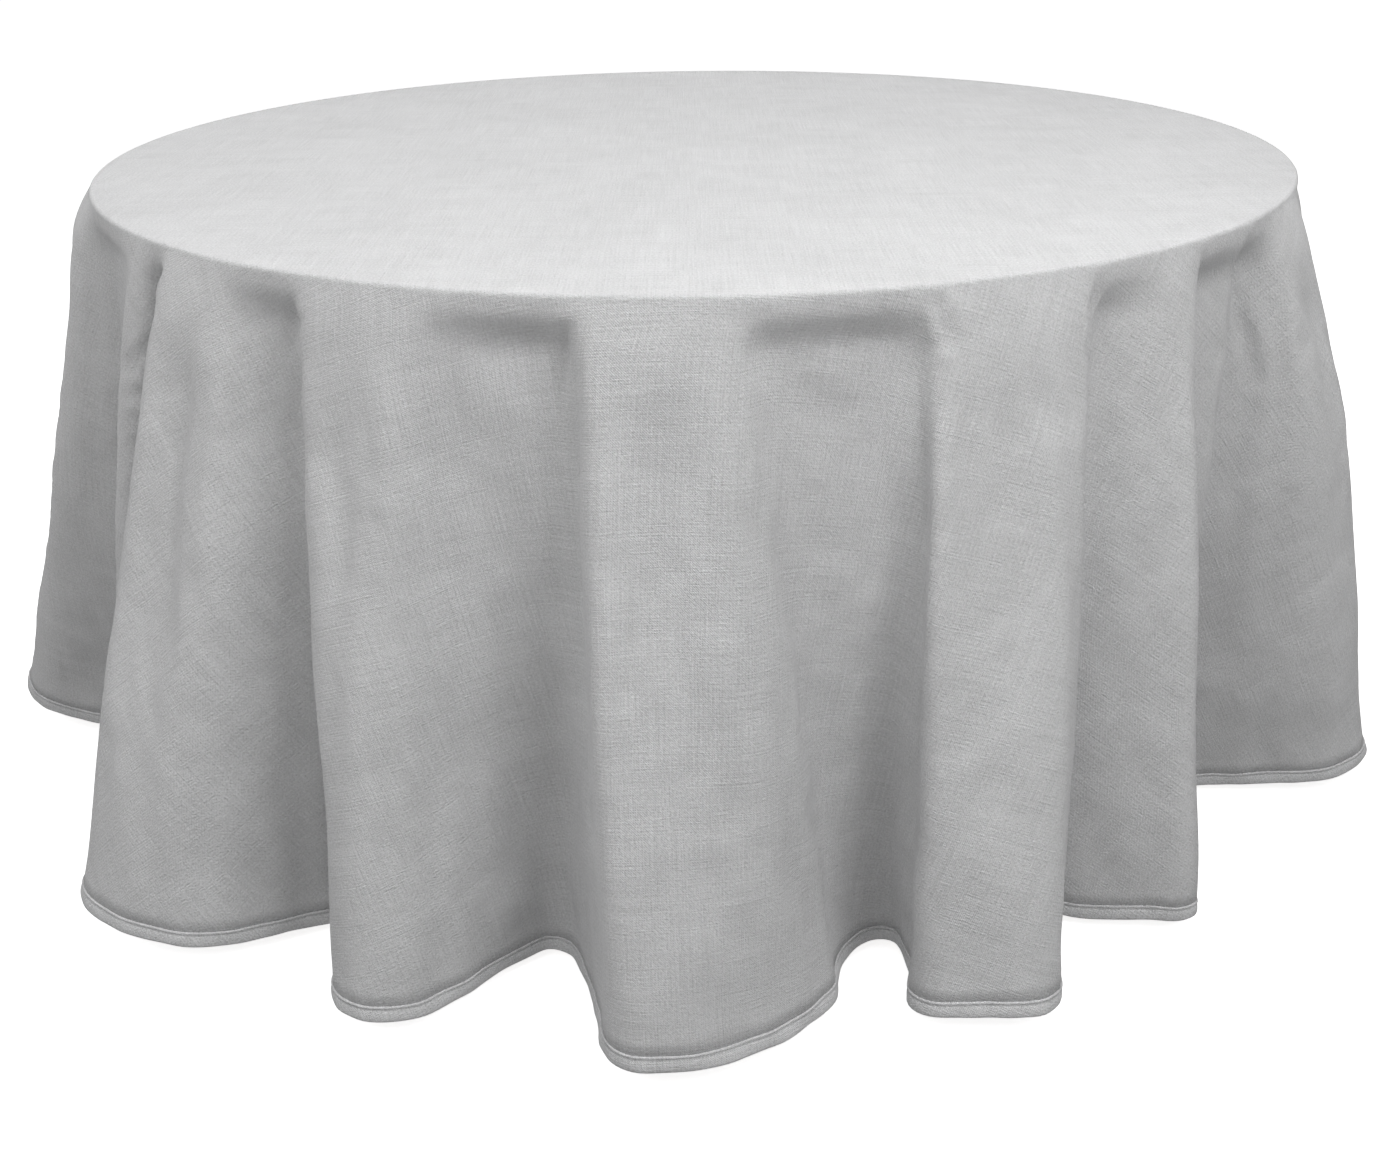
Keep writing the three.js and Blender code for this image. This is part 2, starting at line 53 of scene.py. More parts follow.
BAND_LOW, BAND_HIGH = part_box("edge_band")
TABLE_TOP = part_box("table_board")[1][2]
TABLE_RADIUS = BAND_HIGH[0]
CLOTH_RADIUS = 1.510
CLOTH_THICKNESS = 0.0008
EDGE_SLACK = 0.0016
EDGE_BEND = 0.0045
HEM_HEIGHT = 0.018
HEM_BELOW_SHEET = 0.75  # the share of the hem's height that lies below the sheet's own end

# Cloth grid: threads round the table, rings on the flat top, on the bend and down the skirt
SPOKES = 640
TOP_RINGS = 8
BEND_RINGS = 3
SKIRT_RINGS = 62
FIRST_SPACING = 0.4  # of the even spacing, at the table's edge
SIM_SPOKES = 320
SIM_RINGS = 44
SIM_FRAMES = 30
HEM_SPOKES = 1280

# How folds grow down the skirt: the radius they swing about, as a share of the table's; how much sooner
# they swell out at the front and at the sides; and how fast valleys may go in under the board
FOLD_MIDDLE = 1.09
FRONT_SWELL = 0.25
SIDE_SWELL = 1.20
VALLEY_SLOPE = 0.50

# Folds of the skirt, a round of given points: degrees at the hem from the front (-Y) towards +X,
# the hem's radius there as a share of the table's, and the degrees at which that part of the fold
# leaves the table's edge. Each entry is one fold, from the valley before it.
FOLDS = [
    [(-98, 0.95, -97), (-94, 1.12, -94), (-90, 1.25, -90), (-83, 1.27, -80), (-77.5, 1.23, -70),
     (-74, 1.08, -66)],
    [(-70, 0.94, -61), (-67, 1.03, -55), (-64, 1.12, -51), (-60.5, 1.10, -49), (-58, 1.0, -47.8)],
    [(-54.5, 0.94, -46.8), (-51.5, 1.08, -46), (-49, 1.24, -45.2), (-44.5, 1.27, -43),
     (-39.5, 1.245, -40.5), (-36.6, 1.20, -39), (-34.6, 1.12, -37.6), (-32.2, 1.05, -35.5)],
    [(-29.7, 0.99, -32), (-27.5, 1.07, -30.4), (-25.8, 1.18, -29.4), (-22.8, 1.222, -26),
     (-19.8, 1.20, -22.5), (-17.8, 1.13, -20.5), (-16.2, 1.055, -17.5)],
    [(-12.6, 0.985, -11.5), (-9.6, 1.03, -9), (-7.2, 1.14, -8), (-5.0, 1.24, -7), (-1.5, 1.245, -4),
     (3.0, 1.205, -0.8), (7.0, 1.15, 1.7), (9.9, 1.09, 3.1), (10.7, 1.04, 3.8)],
    [(12.6, 1.0, 6), (16.2, 0.985, 13), (16.2, 1.06, 16.4), (14.6, 1.155, 17.4), (17.5, 1.19, 19.5),
     (22.3, 1.225, 26), (25.0, 1.17, 29.5), (26.8, 1.08, 30.8)],
    [(29.3, 1.01, 32.5), (32.0, 1.06, 35), (35.2, 1.11, 37), (38.5, 1.17, 40.5), (41.2, 1.10, 42.2),
     (42.5, 1.0, 43.2)],
    [(45, 0.93, 45), (47.5, 0.97, 47.5), (49.5, 1.0, 49.5), (51.5, 0.98, 51.2)],
    [(54, 0.93, 52.3), (57.5, 0.99, 53.5), (60.3, 1.08, 54.5), (63.5, 1.20, 57), (68, 1.235, 61.5),
     (72, 1.17, 65.5), (75, 1.04, 67.5)],
    [(79, 0.93, 72), (83, 1.06, 77), (87, 1.22, 83), (94, 1.25, 92), (98, 1.20, 97),
     (101, 1.06, 100.5)],
    [(105, 0.93, 105), (109, 1.05, 109), (113, 1.20, 113), (119, 1.215, 119), (123, 1.15, 123),
     (126, 1.03, 126)],
    [(130, 0.93, 130), (134, 1.06, 134), (138, 1.22, 138), (145, 1.24, 145), (150, 1.17, 150),
     (153, 1.04, 153)],
    [(157, 0.93, 157), (161, 1.07, 161), (165, 1.22, 165), (171, 1.24, 171), (176, 1.16, 176),
     (179, 1.03, 179)],
    [(183, 0.93, 183), (187, 1.06, 187), (190.5, 1.21, 190.5), (196, 1.23, 196), (200, 1.16, 200),
     (203, 1.03, 203)],
    [(207, 0.93, 207), (211, 1.06, 211), (215, 1.20, 215), (222, 1.22, 222), (227, 1.16, 227),
     (230, 1.03, 230)],
    [(234, 0.93, 234), (238, 1.07, 238), (242, 1.22, 242), (249, 1.25, 249), (253.5, 1.19, 253.5),
     (257.5, 1.04, 257.5)],
]


# ---------------------------------------------------------------- scene helpers

def mesh_object(name, points, faces):
    mesh = bpy.data.meshes.new(name)
    mesh.from_pydata([tuple(p) for p in points], [], [tuple(f) for f in faces])
    mesh.update()
    obj = bpy.data.objects.new(name, mesh)
    bpy.context.scene.collection.objects.link(obj)
    return obj


def set_material(obj, material):
    obj.data.materials.clear()
    obj.data.materials.append(material)


# ---------------------------------------------------------------- camera

CAMERA_REACH = 2.1846
CAMERA_HEIGHT = 1.1376
CAMERA_TURN = (24.70, -0.077, -0.73)  # degrees: down, to the side, and about its own line of sight
CAMERA_LENS = 41.68


def add_camera():
    pitch, pan, roll = (math.radians(turn) for turn in CAMERA_TURN)
    forward = Vector((math.sin(pan) * math.cos(pitch), math.cos(pan) * math.cos(pitch), -math.sin(pitch)))
    level = Vector((math.cos(pan), -math.sin(pan), 0))
    upright = level.cross(forward)
    right = level * math.cos(roll) + upright * math.sin(roll)
    up = upright * math.cos(roll) - level * math.sin(roll)
    data = bpy.data.cameras.new("camera")
    data.lens = CAMERA_LENS
    data.sensor_width = 36
    data.clip_start = 0.05
    data.clip_end = 60
    camera = bpy.data.objects.new("camera", data)
    axes = Matrix((right, up, -forward)).transposed().to_4x4()
    camera.matrix_world = Matrix.Translation((0, -CAMERA_REACH, CAMERA_HEIGHT)) @ axes
    bpy.context.scene.collection.objects.link(camera)
    bpy.context.scene.camera = camera


add_camera()


# ---------------------------------------------------------------- the draped shape

EDGE_RADIUS = TABLE_RADIUS + EDGE_SLACK
TOP_LEVEL = TABLE_TOP + EDGE_SLACK / 2
BEND_START = EDGE_RADIUS - EDGE_BEND
BEND_END = BEND_START + EDGE_BEND * math.pi / 2
SKIRT_LENGTH = CLOTH_RADIUS - BEND_END
SKIRT_TOP = TOP_LEVEL - EDGE_BEND
BOARD_EDGE = TABLE_TOP - BAND_LOW[2]


def circle(angles, radius):
    return np.stack([radius * np.sin(angles), -radius * np.cos(angles)], axis=1)


def round_length(curve):
    return np.linalg.norm(np.roll(curve, -1, axis=0) - curve, axis=1).sum()


def even_round(curve, count, start):
    """count points at equal distances along a closed curve, from a share of the way round it."""
    closed = np.vstack([curve, curve[:1]])
    run = np.concatenate([[0], np.cumsum(np.linalg.norm(np.diff(closed, axis=0), axis=1))])
    wanted = (np.arange(count) / count + start) % 1 * run[-1]
    return np.stack([np.interp(wanted, run, closed[:, axis]) for axis in (0, 1)], axis=1)


def smooth_round(points, steps=24):
    """A smooth closed curve through the points: a Catmull-Rom spline, centripetal in the first two values."""
    curve = []
    count = len(points)
    for i in range(count):
        p0, p1, p2, p3 = (points[(i + k) % count] for k in (-1, 0, 1, 2))
        t1 = np.linalg.norm((p1 - p0)[:2]) ** 0.5
        t2 = t1 + np.linalg.norm((p2 - p1)[:2]) ** 0.5
        t3 = t2 + np.linalg.norm((p3 - p2)[:2]) ** 0.5
        for t in np.linspace(t1, t2, steps, endpoint=False):
            a1 = p0 + (p1 - p0) * t / t1
            a2 = p1 + (p2 - p1) * (t - t1) / (t2 - t1)
            a3 = p2 + (p3 - p2) * (t - t2) / (t3 - t2)
            b1 = a1 + (a2 - a1) * t / t2
            b2 = a2 + (a3 - a2) * (t - t1) / (t3 - t1)
            curve.append(b1 + (b2 - b1) * (t - t1) / (t2 - t1))
    return np.array(curve)


def matched(length_of, wanted, low, high):
    """The value between low and high for which a rising length is the wanted one."""
    for _ in range(40):
        middle = (low + high) / 2
        if length_of(middle) < wanted:
            low = middle
        else:
            high = middle
    return (low + high) / 2


def smoothstep(low, high, value):
    t = np.clip((value - low) / (high - low), 0, 1)
    return t * t * (3 - 2 * t)


def fold_lines():
    """All round the hem: its angle, its radius as a share of the table's, and its angle at the edge."""
    points = []
    for fold in FOLDS:
        for hem_degrees, share, edge_degrees in fold:
            turn = math.radians(hem_degrees)
            points.append(np.array((share * math.sin(turn), -share * math.cos(turn),
                                    math.radians(edge_degrees - hem_degrees))))
    curve = smooth_round(points)
    turn = np.unwrap(np.arctan2(curve[:, 0], -curve[:, 1]))
    share = np.hypot(curve[:, 0], curve[:, 1])
    swing = share - FOLD_MIDDLE
    depth = matched(lambda d: round_length(circle(turn, TABLE_RADIUS * (FOLD_MIDDLE + swing * d))),
                    2 * math.pi * CLOTH_RADIUS, 0.8, 1.4)
    return turn, FOLD_MIDDLE + swing * depth, turn + curve[:, 2]


def ring_shares(steps):
    """Shares of the skirt's length for rings that stand closer together near the table's edge."""
    return steps * (FIRST_SPACING + (1 - FIRST_SPACING) * steps)


def ring_steps(shares):
    """The reverse of ring_shares."""
    spread = 1 - FIRST_SPACING
    return (np.sqrt(FIRST_SPACING ** 2 + 4 * spread * shares) - FIRST_SPACING) / (2 * spread)


def laid_plan(count, shares):
    """The rings from above. A ring has the length it has in the flat cloth, which its valleys take up
    by tucking in under the table, once they are past the edge of the board."""
    turn, share, edge_turn = fold_lines()
    valley = 1 - smoothstep(0.95, 1.16, share)
    off_front = np.abs((turn + math.pi) % (2 * math.pi) - math.pi)
    to_side = smoothstep(math.radians(38), math.radians(72), off_front)
    swell = np.where(share > 1, FRONT_SWELL + (SIDE_SWELL - FRONT_SWELL) * to_side, 0.0)
    steps = np.arange(count) * 2 * math.pi / count
    rings, even = [], None
    for part in shares[::-1]:
        angles = edge_turn + (turn - edge_turn) * part
        lift = part * (1 + swell * (1 - part) ** 2)
        ruled = EDGE_RADIUS + (share * TABLE_RADIUS - EDGE_RADIUS) * lift
        depth = matched(lambda d: round_length(circle(angles, ruled - d * valley)),
                        2 * math.pi * (BEND_END + part * SKIRT_LENGTH), 0, 0.2)
        room = max(0.0, VALLEY_SLOPE * (part * SKIRT_LENGTH - BOARD_EDGE))
        depth *= (1 + 0.4 * (1 - part) ** 2) * (part < 1)
        curve = circle(angles, ruled - min(depth, room) * valley)
        start = 0.0
        for _ in range(4):
            ring = even_round(curve, count, start)
            offset = (np.unwrap(np.arctan2(ring[:, 0], -ring[:, 1])) - steps).mean()
            even = offset if even is None else even
            start += ((even - offset + math.pi) % (2 * math.pi) - math.pi) / (2 * math.pi)
        rings.append(ring)
    return np.array(rings[::-1]), even + steps


def laid_skirt(count, rings):
    """Points of the skirt, ring by ring. Every thread keeps its length from one ring to the next."""
    shares = ring_shares(np.arange(rings + 1) / rings)
    plan, angles = laid_plan(count, shares)
    step = np.diff(shares)[:, None] * SKIRT_LENGTH
    sideways = np.linalg.norm(np.diff(plan, axis=0), axis=2)
    fall = np.sqrt(np.maximum(step ** 2 - sideways ** 2, (0.3 * step) ** 2))
    whole = np.sqrt(SKIRT_LENGTH ** 2 - ((plan[-1] - plan[0]) ** 2).sum(axis=1))
    drop = np.vstack([np.zeros(count), np.cumsum(fall, axis=0)])
    drop *= whole / drop[-1]
    return np.dstack([plan, SKIRT_TOP - drop]), angles


def grid_faces(rings, spokes, first=0):
    """Quads between rings of points, ring 0 first, all facing outwards."""
    faces = []
    for ring in range(rings - 1):
        upper, lower = first + ring * spokes, first + (ring + 1) * spokes
        for spoke in range(spokes):
            after = (spoke + 1) % spokes
            faces.append((upper + spoke, lower + spoke, lower + after, upper + after))
    return faces


def settled_skirt(skirt, angles):
    """Cloth simulation: the skirt hangs between the table's edge and its hem line, with the flat cut as its
    rest shape."""
    rings, spokes = skirt.shape[:2]
    sheet = mesh_object("settling_skirt", skirt.reshape(-1, 3), grid_faces(rings, spokes))
    sheet.shape_key_add(name="Basis")
    key = sheet.shape_key_add(name="flat")
    radii = BEND_END + ring_shares(np.arange(rings) / (rings - 1)) * SKIRT_LENGTH
    flat = np.array([np.column_stack([circle(angles, radius), np.zeros(spokes)]) for radius in radii])
    key.data.foreach_set("co", flat.ravel())
    held = sheet.vertex_groups.new(name="held")
    held.add(list(range(spokes)), 1.0, "REPLACE")
    held.add(list(range((rings - 1) * spokes, rings * spokes)), 1.0, "REPLACE")
    modifier = sheet.modifiers.new("drape", "CLOTH")
    settings = modifier.settings
    settings.quality = 5
    settings.mass = 0.1
    settings.air_damping = 3
    settings.tension_stiffness = 20
    settings.compression_stiffness = 20
    settings.shear_stiffness = 6
    settings.bending_stiffness = 1
    settings.tension_damping = 10
    settings.compression_damping = 10
    settings.shear_damping = 10
    settings.bending_damping = 1
    settings.vertex_group_mass = "held"
    settings.rest_shape_key = key
    modifier.collision_settings.use_collision = False
    modifier.collision_settings.use_self_collision = False
    modifier.point_cache.frame_start = 1
    modifier.point_cache.frame_end = SIM_FRAMES
    scene = bpy.context.scene
    for number in range(1, SIM_FRAMES + 1):
        scene.frame_set(number)
    graph = bpy.context.evaluated_depsgraph_get()
    settled = sheet.evaluated_get(graph)
    points = np.empty(rings * spokes * 3)
    settled.data.vertices.foreach_get("co", points)
    bpy.data.objects.remove(sheet)
    scene.frame_set(1)
    return points.reshape(rings, spokes, 3)


def spline_weights(places):
    """For each place along a row of points: the four points round it, and their Catmull-Rom weights."""
    index = np.floor(places).astype(int)
    t = places - index
    weights = np.stack([
        -0.5 * t + t ** 2 - 0.5 * t ** 3,
        1 - 2.5 * t ** 2 + 1.5 * t ** 3,
        0.5 * t + 2 * t ** 2 - 1.5 * t ** 3,
        -0.5 * t ** 2 + 0.5 * t ** 3,
    ])
    return index, weights


def finer_skirt(skirt, shares, spokes):
    """The same surface at other shares of its length, with other threads."""
    old_rings, old_spokes = skirt.shape[:2]
    ends = np.concatenate([2 * skirt[:1] - skirt[1:2], skirt, 2 * skirt[-1:] - skirt[-2:-1]])
    index, weights = spline_weights(np.minimum(ring_steps(shares), 1) * (old_rings - 1) * (1 - 1e-9))
    down = sum(weights[k][:, None, None] * ends[index + k] for k in range(4))
    index, weights = spline_weights(np.arange(spokes) * old_spokes / spokes)
    return sum(weights[k][None, :, None] * down[:, (index + k - 1) % old_spokes] for k in range(4))


def surface_normals(points):
    """Outward normals of a grid of rings that hang down."""
    around = np.roll(points, -1, axis=1) - np.roll(points, 1, axis=1)
    down = np.gradient(points, axis=0)
    normals = np.cross(down, around)
    return normals / np.linalg.norm(normals, axis=2, keepdims=True)


def waves(places, count, shortest, longest):
    """Smooth random relief of unit height at flat places, from plane waves in all directions."""
    relief = 0
    for _ in range(count):
        length = RNG.uniform(shortest, longest)
        turn, phase = RNG.uniform(0, 2 * math.pi, 2)
        along = places @ np.array((math.cos(turn), math.sin(turn)))
        relief = relief + np.cos(2 * math.pi * along / length + phase) * length / longest
    return relief / math.sqrt(count / 2)


# Small creases of the skirt, on the flat cloth. For each of a crease's two ends: degrees round the cloth,
# and metres below the table's edge. Then its width and how far it is pushed in, in metres.
CREASES = [
    (17.0, 0.010, 18.4, 0.055, 0.0060, 0.0060), (18.3, 0.050, 16.6, 0.058, 0.0035, 0.0035),
    (30.9, 0.012, 29.6, 0.060, 0.0055, 0.0055), (29.9, 0.055, 28.7, 0.085, 0.0035, 0.0030),
    (50.6, 0.020, 53.6, 0.190, 0.0080, 0.0055), (-8.8, 0.030, -9.6, 0.110, 0.0080, 0.0050),
    (-45.6, 0.030, -46.2, 0.130, 0.0060, 0.0050), (-49.5, 0.100, -53.5, 0.150, 0.0060, 0.0045),
    (-49.0, 0.165, -53.8, 0.175, 0.0050, 0.0045), (-49.0, 0.215, -53.5, 0.200, 0.0055, 0.0040),
    (-49.5, 0.250, -54.0, 0.275, 0.0050, 0.0035), (-22.4, 0.430, -23.2, 0.465, 0.0050, 0.0035),
    (27.6, 0.560, 26.9, 0.600, 0.0050, 0.0035), (61.5, 0.110, 63.0, 0.260, 0.0090, 0.0035),
    (-30.6, 0.020, -31.4, 0.090, 0.0060, 0.0040), (43.0, 0.015, 43.4, 0.090, 0.0060, 0.0045),
    (128.0, 0.020, 129.0, 0.110, 0.0080, 0.0050), (203.0, 0.020, 204.0, 0.120, 0.0080, 0.0050),
    (9.5, 0.640, 12.0, 0.720, 0.0070, 0.0035), (1.0, 0.668, 3.2, 0.684, 0.0060, 0.0025),
]


def crease_depth(places):
    """How far the creases push the cloth in at flat places. Each has a slight ridge along both sides."""
    depth = 0
    for degrees, below, end_degrees, end_below, width, push in CREASES:
        ends = circle(np.radians([degrees, end_degrees]), BEND_END + np.array((below, end_below)))
        along = ends[1] - ends[0]
        length = np.linalg.norm(along)
        away = places - ends[0]
        share = np.clip(away @ along / length ** 2, 0, 1)
        off = np.linalg.norm(away - share[..., None] * along, axis=-1) / width
        fade = np.sin(math.pi * (0.12 + 0.76 * share))
        depth = depth + push * fade * (np.exp(-off ** 2) - 0.45 * np.exp(-(off - 1.9) ** 2))
    return depth


def relaxed(skirt, shares, angles):
    """The skirt with the soft unevenness of used cloth and a slightly drawn-in hem seam."""
    count = len(angles)
    places = np.array([circle(angles, BEND_END + share * SKIRT_LENGTH) for share in shares])
    down = shares[:, None]
    swell = waves(places, 26, 0.10, 0.34) * 0.0011 * smoothstep(0.02, 0.2, down)
    around = np.broadcast_to((angles * CLOTH_RADIUS)[None, :, None], (len(shares), count, 1))
    seam = np.concatenate([around, np.broadcast_to((down * SKIRT_LENGTH)[:, :, None], around.shape)], axis=2)
    from_hem = (1 - down) * SKIRT_LENGTH
    pucker = waves(seam, 14, 0.05, 0.12) * 0.0012 * np.exp(-from_hem / 0.035)
    return skirt + surface_normals(skirt) * (swell + pucker - crease_depth(places))[:, :, None]


def off_the_board(points):
    """Keeps the cloth outside the edge of the board it hangs over."""
    radius = np.linalg.norm(points[..., :2], axis=-1)
    below = np.maximum(0, TABLE_TOP - BOARD_EDGE - points[..., 2])
    least = TABLE_RADIUS + EDGE_SLACK * 0.8 - 2.5 * below
    grown = np.maximum(radius, least) / radius
    points[..., :2] *= grown[..., None]
    return points


def add_sheet(skirt, angles, shares):
    """The whole cloth: flat top, bend over the table's edge, and skirt."""
    rings, cut = [], []
    for ring in range(1, TOP_RINGS + 1):
        radius = BEND_START * math.sqrt(ring / TOP_RINGS)
        rings.append(np.column_stack([circle(angles, radius), np.full(SPOKES, TOP_LEVEL)]))
        cut.append(circle(angles, radius))
    for ring in range(1, BEND_RINGS):
        turn = ring / BEND_RINGS * math.pi / 2
        level = TOP_LEVEL - EDGE_BEND * (1 - math.cos(turn))
        radius = BEND_START + EDGE_BEND * math.sin(turn)
        rings.append(np.column_stack([circle(angles, radius), np.full(SPOKES, level)]))
        cut.append(circle(angles, BEND_START + EDGE_BEND * turn))
    for share, points in zip(shares, skirt):
        rings.append(points)
        cut.append(circle(angles, BEND_END + share * SKIRT_LENGTH))
    points = np.vstack([[(0, 0, TOP_LEVEL)]] + rings)
    pole = [(0, 1 + spoke, 1 + (spoke + 1) % SPOKES) for spoke in range(SPOKES)]
    cloth = mesh_object("tablecloth_sheet", points, pole + grid_faces(len(rings), SPOKES, first=1))
    lay_uv(cloth, np.vstack([[(0, 0)]] + cut))
    smooth(cloth)
    thick = cloth.modifiers.new("thickness", "SOLIDIFY")
    thick.thickness = CLOTH_THICKNESS
    thick.offset = -1
    return cloth


def lay_uv(obj, cut):
    """The UV layer "cut": where each point lies on the flat cloth, 0 to 1 across it."""
    layer = obj.data.uv_layers.new(name="cut")
    corners = np.empty(len(obj.data.loops), dtype=np.int32)
    obj.data.loops.foreach_get("vertex_index", corners)
    layer.data.foreach_set("uv", (cut[corners] / (2 * CLOTH_RADIUS) + 0.5).ravel())


def smooth(obj):
    for polygon in obj.data.polygons:
        polygon.use_smooth = True


# Cross-section of the hem, in metres: how far out from the cloth, and how far down from the seam's top
HEM_SECTION = [
    (0.0004, 0.0), (0.0013, 0.0006), (0.0017, 0.0016), (0.0013, 0.0027), (0.0007, 0.0034),
    (0.0006, 0.0044), (0.0011, 0.0055), (0.0016, 0.0075), (0.0018, 0.0110), (0.0017, 0.0145),
    (0.0012, 0.0168), (0.0002, 0.0178), (-0.0009, 0.0174), (-0.0014, 0.0150), (-0.0015, 0.0090),
    (-0.0011, 0.0050), (-0.0014, 0.0022), (-0.0009, 0.0006),
]
STITCH_LEVEL = 0.0040
STITCH_PITCH = 0.0042
STITCH_SLANT = 0.28
STITCH_SIDES = 5
# A stitch from end to end: place along it, radius, and lift off the cloth
STITCH_SECTIONS = [
    (-0.00185, 0.0, -0.0003), (-0.0013, 0.00026, 0.0), (0.0, 0.00034, 0.00018), (0.0013, 0.00026, 0.0),
    (0.00185, 0.0, -0.0003),
]


def hem_frame(line_top, line_bottom):
    """For each thread at the hem: its point at the seam's top, the way down, and the way out."""
    down = line_bottom - line_top
    down /= np.linalg.norm(down, axis=1, keepdims=True)
    around = np.roll(line_top, -1, axis=0) - np.roll(line_top, 1, axis=0)
    out = np.cross(down, around)
    out /= np.linalg.norm(out, axis=1, keepdims=True)
    return line_top, down, out


def add_hem(frame_lines, angles):
    start, down, out = frame_lines
    count = len(angles)
    arc = (angles * CLOTH_RADIUS)[:, None]
    ripple = waves(arc * np.array((1.0, 0.0)), 12, 0.02, 0.05)[:, None] * 0.00035
    rows, cut = [], []
    for off, drop in HEM_SECTION:
        fade = min(1.0, drop / 0.006)
        rows.append(start + down * drop + out * (off + ripple * fade))
        cut.append(circle(angles, CLOTH_RADIUS - HEM_HEIGHT + drop))
    rows.append(rows[0])
    points = np.vstack(rows[:-1])
    faces = []
    for row in range(len(HEM_SECTION)):
        upper, lower = row * count, (row + 1) % len(HEM_SECTION) * count
        for spoke in range(count):
            after = (spoke + 1) % count
            faces.append((upper + spoke, lower + spoke, lower + after, upper + after))
    hem = mesh_object("rolled_hem", points, faces)
    lay_uv(hem, np.vstack(cut))
    smooth(hem)
    return hem


def add_stitching(frame_lines):
    """Slanting lockstitches in the hem's groove, all round."""
    start, down, out = frame_lines
    line = start + down * STITCH_LEVEL + out * 0.0008
    closed = np.vstack([line, line[:1]])
    run = np.concatenate([[0], np.cumsum(np.linalg.norm(np.diff(closed, axis=0), axis=1))])
    total = int(run[-1] / STITCH_PITCH)
    middle = np.arange(total) / total * run[-1]

    def along(rows, where):
        rows = np.vstack([rows, rows[:1]])
        return np.stack([np.interp(where % run[-1], run, rows[:, axis]) for axis in range(3)], axis=1)

    centre, fall, away = along(line, middle), along(down, middle), along(out, middle)
    ahead = np.cross(fall, away)
    ahead /= np.linalg.norm(ahead, axis=1, keepdims=True)
    slant = ahead + STITCH_SLANT * fall
    slant /= np.linalg.norm(slant, axis=1, keepdims=True)
    side = np.cross(away, slant)
    sides = STITCH_SIDES
    points = []
    for length, radius, lift in STITCH_SECTIONS:
        middle_point = centre + slant * length + away * lift
        if radius == 0:
            points.append(middle_point[:, None])
            continue
        for k in range(sides):
            turn = 2 * math.pi * k / sides
            points.append((middle_point + radius * (math.cos(turn) * away + math.sin(turn) * side))[:, None])
    points = np.concatenate(points, axis=1)
    per = points.shape[1]
    local = [(0, 1 + (k + 1) % sides, 1 + k) for k in range(sides)]
    for ring in range(2):
        first = 1 + ring * sides
        local += [(first + k, first + (k + 1) % sides, first + sides + (k + 1) % sides, first + sides + k)
                  for k in range(sides)]
    local += [(per - 1, per - 1 - sides + k, per - 1 - sides + (k + 1) % sides) for k in range(sides)]
    faces = [tuple(base + k for k in face) for base in range(0, total * per, per) for face in local]
    stitching = mesh_object("hem_stitching", points.reshape(-1, 3), faces)
    smooth(stitching)
    return stitching


def draped_pieces():
    laid, sim_angles = laid_skirt(SIM_SPOKES, SIM_RINGS)
    skirt = laid
    settled = settled_skirt(laid, sim_angles)
    share = smoothstep(0.03, 0.22, ring_shares(np.arange(SIM_RINGS + 1) / SIM_RINGS))[:, None, None]
    skirt = laid + (settled - laid) * share
    last_step = ring_steps(1 - HEM_BELOW_SHEET * HEM_HEIGHT / SKIRT_LENGTH)
    shares = ring_shares(np.arange(SKIRT_RINGS + 1) / SKIRT_RINGS * last_step)
    hem_shares = np.array([1 - HEM_HEIGHT / SKIRT_LENGTH, 1.0])
    wanted = np.concatenate([shares, hem_shares])
    order = np.argsort(wanted)
    fine = finer_skirt(skirt, wanted[order], HEM_SPOKES)
    angles = sim_angles[0] + np.arange(HEM_SPOKES) * 2 * math.pi / HEM_SPOKES
    fine = off_the_board(relaxed(fine, wanted[order], angles))
    place = np.empty(len(order), dtype=int)
    place[order] = np.arange(len(order))
    every = HEM_SPOKES // SPOKES
    cloth = add_sheet(fine[place[:len(shares)], ::every], angles[::every], shares)
    lines = hem_frame(fine[place[-2]], fine[place[-1]])
    return cloth, add_hem(lines, angles), add_stitching(lines)


cloth, hem, stitching = draped_pieces()


# ---------------------------------------------------------------- materials

YARN_PITCH = 0.0012


def new_material(name):
    material = bpy.data.materials.new(name)
    material.use_nodes = True
    tree = material.node_tree
    return material, tree, tree.nodes["Principled BSDF"]


def wired(tree, kind, inputs=None, **settings):
    """A shader node with its settings made and its inputs either linked or set."""
    node = tree.nodes.new(kind)
    for name, value in settings.items():
        setattr(node, name, value)
    for name, value in (inputs or {}).items():
        if isinstance(value, bpy.types.NodeSocket):
            tree.links.new(value, node.inputs[name])
        else:
            node.inputs[name].default_value = value
    return node


def value_of(tree, operation, first, second=0.0):
    return wired(tree, "ShaderNodeMath", {0: first, 1: second}, operation=operation).outputs[0]


def noise_at(tree, place, scale, stretch=(1, 1, 1), detail=2.0, rough=0.5):
    spread = wired(tree, "ShaderNodeVectorMath", {0: place, 1: stretch}, operation="MULTIPLY").outputs[0]
    return wired(tree, "ShaderNodeTexNoise", {"Vector": spread, "Scale": scale, "Detail": detail,
                                              "Roughness": rough}).outputs["Fac"]


def spread_of(tree, value, amount):
    """amount times how far a 0 to 1 value is from its middle."""
    return value_of(tree, "MULTIPLY", value_of(tree, "SUBTRACT", value, 0.5), amount)


def total_of(tree, values):
    total = values[0]
    for value in values[1:]:
        total = value_of(tree, "ADD", total, value)
    return total


def tinted(tree, level, colour):
    """A colour with its brightness multiplied by a value."""
    return wired(tree, "ShaderNodeVectorMath", {0: colour, "Scale": level}, operation="SCALE").outputs[0]


def bumped(tree, shader, height, distance, strength=1.0):
    bump = wired(tree, "ShaderNodeBump", {"Height": height, "Distance": distance, "Strength": strength})
    tree.links.new(bump.outputs["Normal"], shader.inputs["Normal"])


